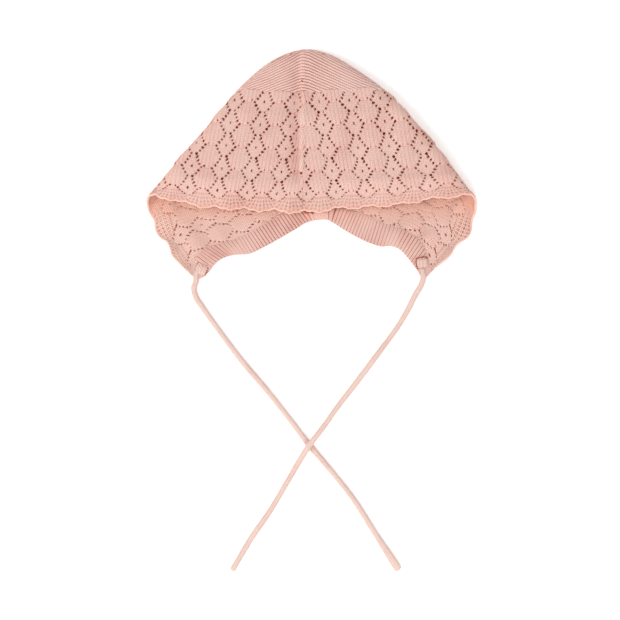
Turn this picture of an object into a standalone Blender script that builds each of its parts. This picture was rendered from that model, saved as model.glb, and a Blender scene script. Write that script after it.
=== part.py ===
"""A knitted lace baby bonnet, lying flat with its ties crossed, in metres with +Z up.

The hood is one knitted wall in two layers, joined round a soft fold from the left side over the
peak to the right side. Its upper layer ends at the scalloped face edge. Its lower layer goes on
to the side edges and to the ribbed neck band. The hollow between the layers takes the head.
"""

import bmesh
import bpy
import numpy as np
from mathutils import Vector

# Driving sizes
HOOD_WIDTH = 0.225
HOOD_LENGTH = 0.155
HOOD_RISE = 0.0112  # from the middle of the lower wall to the middle of the upper wall
WALL = 0.0018
FOLD_TOP_REACH = 0.0075  # how far the round of the fold reaches in over the upper layer
FOLD_FLOOR_REACH = 0.0045
FOLD_WAIST = 0.46  # height of the fold's outermost line, as a share of the rise
MOUTH_SAG = 0.0036
MOUTH_SAG_WIDTH = 0.048
CROWN_DROP = 0.0022
EDGE_RIPPLE = 0.0006
CREASE_DEPTH = 0.0022
CREASE_WIDTH = 0.0042
CREASE_ACROSS = -0.0058
CLEARANCE = 0.0003

LACE_REPEAT = 0.0201  # from one column of lozenges to the next
LACE_ROW = 0.0154  # from one lozenge to the next in a column
LACE_LEAN = 0.0029  # how far a column leans to the middle in one row
LACE_BOW = 0.00027
LACE_MIDDLE = (-0.0037, -0.0202)  # the middle of the lowest lozenge in the middle column
LACE_COLUMNS = 4  # to each side of the middle column
LACE_ROWS = 5
EYELET_WIDTH = 0.0016
EYELET_LENGTH = 0.0026

RIB_PITCH = 0.0023
RIB_DEPTH = 0.0006
PATCH_SIDE = 0.0076
PATCH_THICKNESS = 0.0010
SEAM_LENGTH = 0.0075
SEAM_THICKNESS = 0.0016
TIE_THICKNESS = 0.0036

# Mesh density
SIDE_SPANS = 12
MIDDLE_SPANS = 56
ROUND_TOP = 3
ROUND_FLOOR = 2
UPPER_SPANS = 7
LOWER_SPANS = 4
BAND_SPANS = 3

HALF_WIDTH = HOOD_WIDTH / 2
HALF_LENGTH = HOOD_LENGTH / 2
LOWER_MIDDLE = WALL / 2  # height of the middle of the lower wall

# The fold's outline from the left side over the peak to the right side.
# Columns: across as a share of half the width, along as a share of half the length.
OUTLINE = [
    (-0.998, -0.342),
    (-0.985, -0.281),
    (-0.940, -0.202),
    (-0.849, -0.044),
    (-0.728, 0.167),
    (-0.601, 0.377),
    (-0.480, 0.588),
    (-0.372, 0.746),
    (-0.287, 0.851),
    (-0.166, 0.952),
    (-0.021, 1.000),
    (0.106, 0.956),
    (0.239, 0.851),
    (0.347, 0.746),
    (0.486, 0.588),
    (0.625, 0.377),
    (0.746, 0.167),
    (0.861, -0.044),
    (0.940, -0.202),
    (0.985, -0.281),
    (0.998, -0.351),
]

# The upper layer's scalloped face edge, a row for each lobe and each notch, from left to right.
# Columns: across and along, as shares of half the width and half the length.
FACE_EDGE = [
    (-0.928, -0.281),
    (-0.885, -0.307),
    (-0.758, -0.316),
    (-0.650, -0.384),
    (-0.598, -0.355),
    (-0.492, -0.397),
    (-0.411, -0.366),
    (-0.317, -0.412),
    (-0.218, -0.377),
    (-0.130, -0.432),
    (-0.045, -0.395),
    (0.063, -0.418),
    (0.160, -0.358),
    (0.257, -0.389),
    (0.353, -0.346),
    (0.444, -0.371),
    (0.535, -0.326),
    (0.625, -0.337),
    (0.725, -0.275),
    (0.825, -0.296),
    (0.905, -0.262),
    (0.945, -0.281),
]

# The lower layer's scalloped side edges, from the fold down to the tie corner.
# Columns: across and along, as shares of half the width and half the length.
LEFT_SIDE = [
    (-0.970, -0.443),
    (-0.944, -0.500),
    (-0.937, -0.579),
    (-0.885, -0.654),
    (-0.852, -0.711),
    (-0.844, -0.781),
    (-0.807, -0.842),
    (-0.737, -0.934),
]
RIGHT_SIDE = [
    (0.982, -0.443),
    (0.964, -0.490),
    (0.959, -0.561),
    (0.949, -0.627),
    (0.897, -0.662),
    (0.855, -0.728),
    (0.840, -0.794),
    (0.795, -0.855),
    (0.721, -0.930),
]

# The neck band from the left tie corner past the nape to the right tie corner.
# Columns: across and along of the line where the band joins the hood, across and along of the
# neck edge, all as shares as above, and the strength of the ribs there.
NECK_BAND = [
    (-0.737, -0.934, -0.731, -0.961, 0.0),
    (-0.731, -0.895, -0.680, -0.998, 0.0),
    (-0.716, -0.851, -0.622, -0.939, 0.0),
    (-0.686, -0.781, -0.595, -0.882, 0.5),
    (-0.650, -0.732, -0.553, -0.825, 1.0),
    (-0.601, -0.706, -0.511, -0.798, 1.0),
    (-0.529, -0.675, -0.456, -0.785, 0.2),
    (-0.444, -0.636, -0.384, -0.779, 0.4),
    (-0.366, -0.579, -0.299, -0.724, 1.0),
    (-0.263, -0.496, -0.196, -0.643, 1.0),
    (-0.172, -0.421, -0.106, -0.566, 1.0),
    (-0.088, -0.364, -0.021, -0.496, 1.0),
    (0.003, -0.338, 0.033, -0.482, 0.0),
    (0.076, -0.340, 0.094, -0.480, 0.0),
    (0.154, -0.368, 0.124, -0.498, 1.0),
    (0.239, -0.399, 0.190, -0.560, 1.0),
    (0.317, -0.430, 0.263, -0.621, 1.0),
    (0.390, -0.474, 0.347, -0.679, 1.0),
    (0.462, -0.518, 0.420, -0.713, 0.6),
    (0.529, -0.553, 0.480, -0.711, 0.2),
    (0.589, -0.588, 0.532, -0.737, 1.0),
    (0.644, -0.640, 0.574, -0.798, 1.0),
    (0.683, -0.719, 0.613, -0.868, 1.0),
    (0.704, -0.798, 0.640, -0.925, 0.3),
    (0.716, -0.868, 0.662, -0.974, 0.0),
    (0.719, -0.912, 0.692, -0.980, 0.0),
    (0.721, -0.930, 0.713, -0.947, 0.0),
]

# The tie patches. Columns: across and along of the middle as shares as above, turn in radians.
PATCHES = {
    "left_tie_patch": (-0.665, -0.917, -0.35),
    "right_tie_patch": (0.668, -0.860, 0.12),
}
NAPE_SEAM = (-0.021, -0.410, -0.22)  # across and along as shares, turn in radians

# The ties' routes in metres, chosen by hand: across, along and height of the middle line.
LEFT_TIE_ROUTE = [
    (-0.0784, -0.0789, 0.0019),
    (-0.0799, -0.0836, 0.0019),
    (-0.0785, -0.0898, 0.0019),
    (-0.0738, -0.0972, 0.0019),
    (-0.0636, -0.1115, 0.0019),
    (-0.0467, -0.1340, 0.0019),
    (-0.0297, -0.1540, 0.0019),
    (-0.0152, -0.1723, 0.0019),
    (-0.0020, -0.1897, 0.0019),
    (0.0105, -0.2045, 0.0019),
    (0.0282, -0.2267, 0.0019),
    (0.0430, -0.2500, 0.0019),
    (0.0595, -0.2754, 0.0019),
]
RIGHT_TIE_ROUTE = [
    (0.0760, -0.0768, 0.0019),
    (0.0742, -0.0822, 0.0019),
    (0.0709, -0.0877, 0.0019),
    (0.0660, -0.0975, 0.0019),
    (0.0585, -0.1101, 0.0019),
    (0.0470, -0.1258, 0.0019),
    (0.0307, -0.1476, 0.0019),
    (0.0180, -0.1640, 0.0022),
    (0.0080, -0.1780, 0.0040),
    (-0.0016, -0.1905, 0.0059),
    (-0.0096, -0.2035, 0.0040),
    (-0.0180, -0.2180, 0.0022),
    (-0.0278, -0.2345, 0.0019),
    (-0.0405, -0.2530, 0.0019),
    (-0.0540, -0.2757, 0.0019),
]
TIE_POINT_SPACING = 2.6  # in tie thicknesses


def smooth_curve(points, shares):
    """Points on a smooth curve through a table's rows, at shares of its length."""
    points = np.array(points, float)
    steps = np.linalg.norm(np.diff(points, axis=0), axis=1)
    reach = np.concatenate([[0], np.cumsum(steps)])
    slopes = np.gradient(points, reach, axis=0)
    at = np.clip(shares, 0, 1) * reach[-1]
    i = np.clip(np.searchsorted(reach, at, side="right") - 1, 0, len(steps) - 1)
    span = steps[i][:, None]
    t = (at - reach[i])[:, None] / span
    start = (1 + 2 * t) * (1 - t) ** 2 * points[i] + t * (1 - t) ** 2 * span * slopes[i]
    end = t**2 * (3 - 2 * t) * points[i + 1] - t**2 * (1 - t) * span * slopes[i + 1]
    return start + end


def sized(rows):
    """A table's first two columns in metres."""
    return np.array(rows, float)[:, :2] * (HALF_WIDTH, HALF_LENGTH)


def ease(low, high, value):
    """From 0 at low to 1 at high, smooth at both ends."""
    t = np.clip((value - low) / (high - low), 0, 1)
    return t * t * (3 - 2 * t)


def lift(x, y):
    """How far the upper wall's middle lies above the lower wall's middle."""
    along = y / HALF_LENGTH
    sag = MOUTH_SAG * np.exp(-((x / MOUTH_SAG_WIDTH) ** 2)) * ease(0.35, -0.35, along)
    drop = CROWN_DROP * ease(0.35, 1.0, along)
    creased = ease(-0.27, 0.0, along) * (1 - 0.5 * ease(0.8, 1.0, along))
    crease = CREASE_DEPTH * np.exp(-(((x - CREASE_ACROSS) / CREASE_WIDTH) ** 2)) * creased
    ripple = EDGE_RIPPLE * np.sin(2 * np.pi * x / LACE_REPEAT) * ease(-0.1, -0.35, along)
    return HOOD_RISE - sag - drop - crease + ripple


def hood_lines():
    """The hood's guide lines: fold, face edge, lower edge and the way in from the fold."""
    side = np.linspace(0, 1, SIDE_SPANS + 1)
    middle = np.linspace(0, 1, MIDDLE_SPANS + 1)
    spans = 2 * SIDE_SPANS + MIDDLE_SPANS
    share = np.linspace(0, 1, spans + 1)
    fold = smooth_curve(sized(OUTLINE), share)
    face = smooth_curve(sized(FACE_EDGE), share)
    left = smooth_curve(sized(LEFT_SIDE), side)
    join = smooth_curve(sized(NECK_BAND), middle)
    right = smooth_curve(sized(RIGHT_SIDE), side)[::-1]
    lower = np.concatenate([left[:-1], join, right[1:]])
    run = np.gradient(fold, axis=0)
    inward = np.stack([run[:, 1], -run[:, 0]], axis=1)
    inward /= np.linalg.norm(inward, axis=1)[:, None]
    return fold + inward * WALL / 2, face, lower, inward


def hood_rows():
    """The hood's wall as rows of points from the face edge, round the fold, to the lower edge."""
    fold, face, lower, inward = hood_lines()
    share = np.linspace(0, 1, len(fold))
    end = 1 - ease(0.0, 0.06, np.minimum(share, 1 - share))[:, None]
    to_face = face - fold
    to_face /= np.linalg.norm(to_face, axis=1)[:, None]
    to_lower = lower - fold
    to_lower /= np.linalg.norm(to_lower, axis=1)[:, None]
    top_way = inward * (1 - end) + to_face * end
    floor_way = inward * (1 - end) + to_lower * end
    top = fold + top_way * FOLD_TOP_REACH
    floor = fold + floor_way * FOLD_FLOOR_REACH
    rise = lift(top[:, 0], top[:, 1])
    waist = LOWER_MIDDLE + FOLD_WAIST * rise
    rows = []
    for t in np.linspace(1, 0, UPPER_SPANS + 1):
        spot = top + (face - top) * t
        rows.append(np.column_stack([spot, LOWER_MIDDLE + lift(spot[:, 0], spot[:, 1])]))
    for step in range(ROUND_TOP - 1, -1, -1):
        angle = np.pi / 2 * step / ROUND_TOP
        spot = fold + (top - fold) * (1 - np.cos(angle))
        rows.append(np.column_stack([spot, waist + (1 - FOLD_WAIST) * rise * np.sin(angle)]))
    for step in range(1, ROUND_FLOOR + 1):
        angle = np.pi / 2 * step / ROUND_FLOOR
        spot = fold + (floor - fold) * (1 - np.cos(angle))
        rows.append(np.column_stack([spot, waist - FOLD_WAIST * rise * np.sin(angle)]))
    for t in np.linspace(0, 1, LOWER_SPANS + 1)[1:]:
        spot = floor + (lower - floor) * t
        rows.append(np.column_stack([spot, np.full(len(spot), LOWER_MIDDLE)]))
    return rows


def colored(name, color, roughness):
    """A cloth material."""
    material = bpy.data.materials.new(name)
    material.use_nodes = True
    shader = material.node_tree.nodes["Principled BSDF"]
    shader.inputs["Base Color"].default_value = (*color, 1)
    shader.inputs["Roughness"].default_value = roughness
    shader.inputs["Metallic"].default_value = 0
    return material


def placed(name, mesh, material):
    """A new object in the scene that shows the mesh."""
    thing = bpy.data.objects.new(name, mesh)
    bpy.context.collection.objects.link(thing)
    thing.data.materials.append(material)
    return thing


def sheet_from_rows(name, rows, material, thickness):
    """A wall of even thickness whose middle surface goes through rows of points."""
    across, along = len(rows[0]) - 1, len(rows) - 1
    body = bmesh.new()
    bmesh.ops.create_grid(body, x_segments=across, y_segments=along, size=0.5)
    for vertex in body.verts:
        column = round((vertex.co.x + 0.5) * across)
        row = round((vertex.co.y + 0.5) * along)
        vertex.co = Vector(rows[row][column])
    bmesh.ops.recalc_face_normals(body, faces=body.faces)
    mesh = bpy.data.meshes.new(name)
    body.to_mesh(mesh)
    body.free()
    mesh.shade_smooth()
    wall = placed(name, mesh, material)
    solid = wall.modifiers.new("wall", "SOLIDIFY")
    solid.thickness = thickness
    solid.offset = 0
    return wall


def lozenge_middle(column, row):
    """The middle of a lozenge in the lace, or of the tips between two for a half row."""
    side = np.sign(column)
    x = LACE_MIDDLE[0] + column * LACE_REPEAT - side * row * LACE_LEAN
    y = LACE_MIDDLE[1] + row * LACE_ROW + LACE_BOW * column**2
    return x, y


def clear_of_the_fold(x, y):
    """Whether a place lies on the upper layer's level part and beside the crease."""
    fold = smooth_curve(sized(OUTLINE), np.linspace(0, 1, 121))
    away = np.linalg.norm(fold - (x, y), axis=1).min()
    spine = np.interp(x, fold[:, 0], fold[:, 1])
    beside = abs(x - CREASE_ACROSS) > CREASE_WIDTH or y < LACE_MIDDLE[1] + LACE_ROW
    return y < spine and away > FOLD_TOP_REACH + EYELET_LENGTH and beside


def eyelet_cutter():
    """One closed pin for each main eyelet of the lace, through the upper layer only."""
    bottom = WALL + 2 * RIB_DEPTH
    height = HOOD_RISE + 2 * WALL
    body = bmesh.new()
    for column in range(-LACE_COLUMNS, LACE_COLUMNS + 1):
        for half_row in range(2 * LACE_ROWS):
            x, y = lozenge_middle(column, half_row / 2)
            if column == 0 and half_row > 1 or not clear_of_the_fold(x, y):
                continue
            pin = bmesh.ops.create_cone(
                body, cap_ends=True, segments=4, radius1=0.5, radius2=0.5, depth=height
            )
            bmesh.ops.scale(body, vec=(EYELET_WIDTH, EYELET_LENGTH, 1), verts=pin["verts"])
            bmesh.ops.translate(
                body, vec=(x, y, bottom + height / 2), verts=pin["verts"]
            )
    mesh = bpy.data.meshes.new("eyelet_cutter")
    body.to_mesh(mesh)
    body.free()
    cutter = bpy.data.objects.new("eyelet_cutter", mesh)
    bpy.context.collection.objects.link(cutter)
    cutter.hide_render = True
    cutter.display_type = "WIRE"
    return cutter


def make_hood(material):
    """The two-layer lace hood with its main eyelets cut through."""
    hood = sheet_from_rows("hood", hood_rows(), material, WALL)
    cut = hood.modifiers.new("eyelets", "BOOLEAN")
    cut.operation = "DIFFERENCE"
    cut.solver = "EXACT"
    cut.object = eyelet_cutter()
    return hood


def make_neck_band(material):
    """The ribbed band that goes on from the hood's lower layer to the neck edge."""
    neck_length = np.linalg.norm(
        np.diff(np.array(NECK_BAND)[:, 2:4] * (HALF_WIDTH, HALF_LENGTH), axis=0), axis=1
    ).sum()
    steps = 2 * round(neck_length / RIB_PITCH)
    share = np.linspace(0, 1, steps + 1)
    table = np.array(NECK_BAND)
    metres = table * (HALF_WIDTH, HALF_LENGTH, HALF_WIDTH, HALF_LENGTH, 1)
    inner = smooth_curve(metres[:, :2], share)
    outer = smooth_curve(metres[:, 2:4], share)
    strength = np.interp(share, np.linspace(0, 1, len(table)), table[:, 4])
    side = np.where(np.arange(steps + 1) % 2, 0.5, -0.5)
    height = LOWER_MIDDLE + RIB_DEPTH * strength * (0.5 + side)
    depth = np.linalg.norm(outer - inner, axis=1)
    rows = []
    for t in np.linspace(0, 1, BAND_SPANS + 1):
        reach = (CLEARANCE / depth + (1 - CLEARANCE / depth) * t)[:, None]
        rows.append(np.column_stack([inner + (outer - inner) * reach, height]))
    return sheet_from_rows("neck_band", rows, material, WALL)


def rounded_plate(name, material, sides, place, turn):
    """A small soft plate with rounded edges, turned about +Z, its underside at the place."""
    body = bmesh.new()
    bmesh.ops.create_cube(body, size=1)
    bmesh.ops.scale(body, vec=sides, verts=body.verts)
    upright = [e for e in body.edges if abs(e.verts[0].co.z - e.verts[1].co.z) > 0.5 * sides[2]]
    corner = 0.3 * min(sides[:2])
    bmesh.ops.bevel(
        body, geom=upright, offset=corner, segments=3, profile=0.5, affect="EDGES"
    )
    crown = [f for f in body.faces if f.normal.z > 0.9]
    rim = [e for e in crown[0].edges]
    bmesh.ops.bevel(
        body, geom=rim, offset=0.35 * sides[2], segments=2, profile=0.5, affect="EDGES"
    )
    mesh = bpy.data.meshes.new(name)
    body.to_mesh(mesh)
    body.free()
    mesh.shade_smooth()
    mesh.set_sharp_from_angle(angle=0.7)
    plate = placed(name, mesh, material)
    plate.location = (place[0], place[1], place[2] + sides[2] / 2)
    plate.rotation_euler.z = turn
    return plate


def make_patches(material):
    """The sewn squares that hold the ties at the two corners."""
    for name, (across, along, turn) in PATCHES.items():
        place = (across * HALF_WIDTH, along * HALF_LENGTH, WALL + CLEARANCE)
        sides = (PATCH_SIDE, PATCH_SIDE, PATCH_THICKNESS)
        rounded_plate(name, material, sides, place, turn)


def make_nape_seam(material):
    """The end of the gathered seam that shows on the neck band at the nape."""
    across, along, turn = NAPE_SEAM
    top_of_ribs = WALL + RIB_DEPTH
    place = (across * HALF_WIDTH, along * HALF_LENGTH, top_of_ribs + CLEARANCE)
    sides = (SEAM_LENGTH, 1.5 * SEAM_THICKNESS, SEAM_THICKNESS)
    rounded_plate("nape_seam", material, sides, place, turn)


def make_tie(name, route, material):
    """A knitted tie that lies free on the surface."""
    route = np.array(route)
    length = np.linalg.norm(np.diff(route, axis=0), axis=1).sum()
    count = round(length / (TIE_POINT_SPACING * TIE_THICKNESS))
    points = smooth_curve(route, np.linspace(0, 1, count + 1))
    curve = bpy.data.curves.new(name, "CURVE")
    curve.dimensions = "3D"
    curve.bevel_depth = TIE_THICKNESS / 2
    curve.bevel_resolution = 2
    curve.use_fill_caps = True
    line = curve.splines.new("POLY")
    line.points.add(count)
    for place, spot in zip(line.points, points):
        place.co = (*spot, 1)
    return placed(name, curve, material)


def main():
    for thing in list(bpy.data.objects):
        bpy.data.objects.remove(thing, do_unlink=True)
    knit = colored("blush_knit", (0.77, 0.47, 0.40), 0.9)
    rib = colored("blush_rib", (0.79, 0.48, 0.41), 0.9)
    patch = colored("pale_patch", (0.83, 0.56, 0.49), 0.9)
    seam = colored("seam_thread", (0.66, 0.29, 0.24), 0.9)
    tape = colored("tie_knit", (0.80, 0.53, 0.46), 0.9)
    make_hood(knit)
    make_neck_band(rib)
    make_patches(patch)
    make_nape_seam(seam)
    make_tie("left_tie", LEFT_TIE_ROUTE, tape)
    make_tie("right_tie", RIGHT_TIE_ROUTE, tape)


main()
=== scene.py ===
# %% [markdown]
# # A knitted lace baby bonnet
#
# The bonnet lies flat on its back half, seen from straight above, with its ties crossed.
# The CAD frame gives its size and place. This lesson knits over it: lace with real eyelets,
# a ridged crown, a ribbed neck band, a chain-stitch edge and two knitted ties.

# %% Load the frame
import math

import bmesh
import bpy
import numpy as np
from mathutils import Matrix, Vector


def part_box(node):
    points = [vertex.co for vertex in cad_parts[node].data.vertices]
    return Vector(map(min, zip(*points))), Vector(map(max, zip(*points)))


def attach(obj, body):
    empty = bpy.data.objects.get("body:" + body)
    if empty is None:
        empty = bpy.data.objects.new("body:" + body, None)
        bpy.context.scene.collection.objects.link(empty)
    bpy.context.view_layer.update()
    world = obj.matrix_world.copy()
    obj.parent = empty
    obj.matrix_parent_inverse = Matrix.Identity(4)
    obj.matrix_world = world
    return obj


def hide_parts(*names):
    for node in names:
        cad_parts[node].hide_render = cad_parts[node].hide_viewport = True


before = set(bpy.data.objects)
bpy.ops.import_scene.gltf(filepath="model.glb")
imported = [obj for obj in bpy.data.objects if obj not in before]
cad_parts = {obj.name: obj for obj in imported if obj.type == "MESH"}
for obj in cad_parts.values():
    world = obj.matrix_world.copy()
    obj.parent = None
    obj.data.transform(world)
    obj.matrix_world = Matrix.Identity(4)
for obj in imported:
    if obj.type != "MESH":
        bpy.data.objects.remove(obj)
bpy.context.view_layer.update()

# %% [markdown]
# ## Camera
#
# The photo is a flat lay taken from straight above with a long lens, so nothing converges.
# A camera 1.6 m up with a matching lens gives the same view: the picture is 620 pixels wide,
# and the hood's 225 mm fill 331 of them.

# %% Camera
PIXEL = 0.00068  # one photo pixel on the surface, in metres
PICTURE = 620
HOOD_MIDDLE = (311.5, 165.0)  # the frame's origin in photo pixels
CAMERA_HEIGHT = 1.6
lens = bpy.data.cameras.new("camera")
lens.sensor_width = 36
lens.lens = 36 * CAMERA_HEIGHT / (PICTURE * PIXEL)
camera = bpy.data.objects.new("camera", lens)
camera.location = (
    (PICTURE / 2 - HOOD_MIDDLE[0]) * PIXEL,
    (HOOD_MIDDLE[1] - PICTURE / 2) * PIXEL,
    CAMERA_HEIGHT,
)
bpy.context.collection.objects.link(camera)
bpy.context.scene.camera = camera
print("lens", round(lens.lens), "mm")

# %% [markdown]
# ## Finishes
#
# Every part is the same blush cotton, knitted in different stitches. A knit stitch is a V of
# two slanted legs. It is too small to model over a whole bonnet, so a bump draws it from a UV
# map whose unit is one stitch, and the mesh keeps the eyelets, leaves, ridges and ribs.

# %% Colour and node helpers
def hex_color(code):
    """An sRGB hex colour as a linear one."""
    parts = [int(code[i : i + 2], 16) / 255 for i in (1, 3, 5)]
    return [p / 12.92 if p <= 0.04045 else ((p + 0.055) / 1.055) ** 2.4 for p in parts] + [1]


def add(tree, kind, settings=None, links=None):
    """Adds a node with its settings and its linked or typed inputs."""
    made = tree.nodes.new(kind)
    for key, value in (settings or {}).items():
        setattr(made, key, value)
    for key, value in (links or {}).items():
        if isinstance(value, bpy.types.Node):
            value = value.outputs[0]
        if isinstance(value, bpy.types.NodeSocket):
            tree.links.new(value, made.inputs[key])
        else:
            made.inputs[key].default_value = value
    return made


print("white in linear light", hex_color("#ffffff"))

# %% [markdown]
# The knit height is worked out from the stitch UV. Across a stitch, two legs rise and meet in
# the middle, and along a column each leg swells once a row, later at the outside, which slants
# it into a V. A purl face is the back of the same fabric: rows of small wavy bumps.

# %% Stitch heights
MATH = "ShaderNodeMath"
LEG_POWER = 0.6  # below 1, so that a leg is round, with a narrow valley beside it
LEG_SLANT = 1.1  # how late a leg's outside swells, in rows
LEG_SWELL = 0.27
PURL_WAVE = 0.22


def knit_height(tree, u, v):
    """The height of knit stitches, from 0 to 1."""
    across = add(tree, MATH, {"operation": "PINGPONG"}, {0: u, 1: 0.5})
    leg = add(tree, MATH, {"operation": "MULTIPLY"}, {0: across, 1: math.tau})
    leg = add(tree, MATH, {"operation": "SINE", "use_clamp": True}, {0: leg})
    leg = add(tree, MATH, {"operation": "POWER"}, {0: leg, 1: LEG_POWER})
    slant = add(tree, MATH, {"operation": "MULTIPLY_ADD"}, {0: across, 1: -LEG_SLANT, 2: v})
    swell = add(tree, MATH, {"operation": "MULTIPLY"}, {0: slant, 1: math.tau})
    swell = add(tree, MATH, {"operation": "COSINE"}, {0: swell})
    swell = add(tree, MATH, {"operation": "MULTIPLY_ADD"}, {0: swell, 1: LEG_SWELL, 2: 1 - LEG_SWELL})
    return add(tree, MATH, {"operation": "MULTIPLY"}, {0: leg, 1: swell})


def purl_height(tree, u, v):
    """The height of purl bumps, from 0 to 1."""
    wave = add(tree, MATH, {"operation": "MULTIPLY"}, {0: u, 1: math.tau})
    wave = add(tree, MATH, {"operation": "COSINE"}, {0: wave})
    row = add(tree, MATH, {"operation": "MULTIPLY_ADD"}, {0: wave, 1: PURL_WAVE, 2: v})
    row = add(tree, MATH, {"operation": "MULTIPLY"}, {0: row, 1: math.tau})
    row = add(tree, MATH, {"operation": "COSINE"}, {0: row})
    return add(tree, MATH, {"operation": "MULTIPLY_ADD"}, {0: row, 1: 0.5, 2: 0.5})


# %% [markdown]
# The yarn is combed cotton, dyed blush. Its fibres are matte, so it has a high roughness, hardly
# any specular and a little peach sheen, and the eye sees soft edges. Valleys between the legs
# are painted deeper in tone, as shade, and the dye varies slowly over the cloth. Where two layers
# lie close, light comes through and turns the yarn peach: the glow attribute paints that light.
# A fifth of all light goes through. Round the eyelets a trace of it comes out again, reddened,
# and the lit value paints it as a faint glow.

# %% Cotton
SHADED_YARN = "#a2341e"
# PEACH_YARN is the colour of the painted glow, and it also tints the sheen.
PEACH_YARN = "#fec1aa"
LIT_YARN = "#d04028"
COTTON = {
    "Roughness": 0.88, "Specular IOR Level": 0.12, "Sheen Weight": 0.14, "Sheen Roughness": 0.6,
    "Sheen Tint": hex_color(PEACH_YARN),
}
# Painted shade at stitch scale: a stitch's valleys are darker than its top.
STITCH_TONE = 0.56  # how much paler a stitch's top is than the valleys round it
BASE_TONE = 0.17
DYE_TONE = 0.5
DYE_SCALE = 60.0  # patches of dye about 17 mm wide
FUZZ_SCALE = 2600.0  # specks of 0.4 mm: real fibres are 0.02 mm, too fine to show
FUZZ = 0.15
DEEP_AT, LIGHT_AT = 0.35, 0.72  # where the deep and the light colour lie in the tones
THROUGH = 0.20  # the share of light that the yarn lets through


def cotton(name, light, deep, height_of=knit_height, bump=0.00035, valleys=1.0, shade=SHADED_YARN, lit=0.0):
    """Blush cotton yarn in one kind of stitch."""
    material = bpy.data.materials.new(name)
    material.use_nodes = True
    tree = material.node_tree
    shader = tree.nodes["Principled BSDF"]
    for socket, value in COTTON.items():
        shader.inputs[socket].default_value = value
    # Emission paints the lit glow, in the shade colour.
    shader.inputs["Emission Color"].default_value = hex_color(shade)
    shader.inputs["Emission Strength"].default_value = lit
    stitches = add(tree, "ShaderNodeUVMap", {"uv_map": "stitch"})
    apart = add(tree, "ShaderNodeSeparateXYZ", None, {0: stitches})
    height = height_of(tree, apart.outputs[0], apart.outputs[1])
    places = add(tree, "ShaderNodeTexCoord").outputs["Object"]
    slow = add(tree, "ShaderNodeTexNoise", None, {"Vector": places, "Scale": DYE_SCALE, "Detail": 3.0})
    fuzz = add(tree, "ShaderNodeTexNoise", None, {"Vector": places, "Scale": FUZZ_SCALE, "Detail": 2.0})
    # The valley attribute is painted shade, and the glow attribute is painted peach light.
    valley = add(tree, "ShaderNodeAttribute", {"attribute_name": "valley"}).outputs["Fac"]
    glow = add(tree, "ShaderNodeAttribute", {"attribute_name": "glow"}).outputs["Fac"]
    tone = add(tree, MATH, {"operation": "MULTIPLY_ADD"}, {0: height, 1: STITCH_TONE, 2: BASE_TONE})
    tone = add(tree, MATH, {"operation": "MULTIPLY_ADD"}, {0: slow, 1: DYE_TONE, 2: tone})
    tone = add(tree, MATH, {"operation": "MULTIPLY_ADD"}, {0: valley, 1: -valleys, 2: tone})
    ramp = add(tree, "ShaderNodeValToRGB", None, {0: tone})
    ramp.color_ramp.elements[0].position = 0.0
    ramp.color_ramp.elements[0].color = hex_color(shade)
    ramp.color_ramp.elements[1].position = LIGHT_AT
    ramp.color_ramp.elements[1].color = hex_color(light)
    ramp.color_ramp.elements.new(DEEP_AT).color = hex_color(deep)
    dyed = add(tree, "ShaderNodeMix", {"data_type": "RGBA"}, {0: glow, 6: ramp, 7: hex_color(PEACH_YARN)})
    tree.links.new(dyed.outputs[2], shader.inputs["Base Color"])
    surface = add(tree, MATH, {"operation": "MULTIPLY_ADD"}, {0: fuzz, 1: FUZZ, 2: height})
    bumps = add(tree, "ShaderNodeBump", None, {"Strength": 1.0, "Distance": bump, "Height": surface})
    tree.links.new(bumps.outputs[0], shader.inputs["Normal"])
    passed = add(tree, "ShaderNodeBsdfTranslucent", None, {"Color": dyed.outputs[2]})
    both = add(tree, "ShaderNodeMixShader", None, {0: THROUGH, 1: shader, 2: passed})
    tree.links.new(both.outputs[0], tree.nodes["Material Output"].inputs["Surface"])
    return material


# %% [markdown]
# Each kind of knitting gets its own tone of the same cotton. Purl faces are painted paler, because
# their bumps catch more light, and ribs are deeper. The ties and patches are tighter and palest.
# The cloth's inside between the layers, and the walls of the eyelets, are painted in reddish
# shade. The seam is sewn with a darker rose thread.

# %% Cotton for each piece
lace_cotton = cotton("lace_knit_cotton", "#f4cfc3", "#dda798")
inside_cotton = cotton("lace_purl_cotton", "#fbd7ca", "#e8b4a3", purl_height)
enclosed_shade_cotton = cotton("enclosed_purl_shade_cotton", "#fbd7ca", "#e8b4a3", purl_height, shade=LIT_YARN, lit=0.09)
crown_cotton = cotton("crown_garter_cotton", "#fedad0", "#e8b4a6", purl_height)
rib_cotton = cotton("rib_cotton", "#f1ccc1", "#d69e90")
edge_cotton = cotton("chain_edge_cotton", "#f9d3c5", "#e8b09c", bump=0.0002)
tie_cotton = cotton("tie_cotton", "#f3d9cf", "#dfb3a5")
patch_cotton = cotton("patch_cotton", "#f8dcd2", "#e0b0a1")
outside_cotton = cotton("back_outside_cotton", "#f4cfc3", "#dda798", valleys=0.0)
eyelet_shade_cotton = cotton("eyelet_shade_cotton", "#dd5232", "#c43a1c", bump=0.0001, shade=LIT_YARN, lit=0.09)
thread_cotton = cotton("seam_thread_cotton", "#c46a5c", "#9c4136", bump=0.0002)
print(len(bpy.data.materials), "materials")

# %% [markdown]
# ## Sheets of knitting
#
# A knitted piece is a grid of stitches, so each sheet starts as a grid with a few faces for
# each stitch. A function gives each grid point its place. Eyelet faces are deleted and the
# points round them moved onto the eyelet's rim. Solidify gives the yarn's thickness.

# %% Grid helpers
YARN_WALL = 0.0012
PAST_FOLD = -0.0016  # cloth is kept up to here past the fold, so that the two layers overlap


def show(mesh, name, material):
    """A new object in the scene with the mesh and its material, riding on the bonnet."""
    mesh.materials.append(material)
    mesh.shade_smooth()
    piece = bpy.data.objects.new(name, mesh)
    bpy.context.collection.objects.link(piece)
    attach(piece, "root")
    return piece


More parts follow.
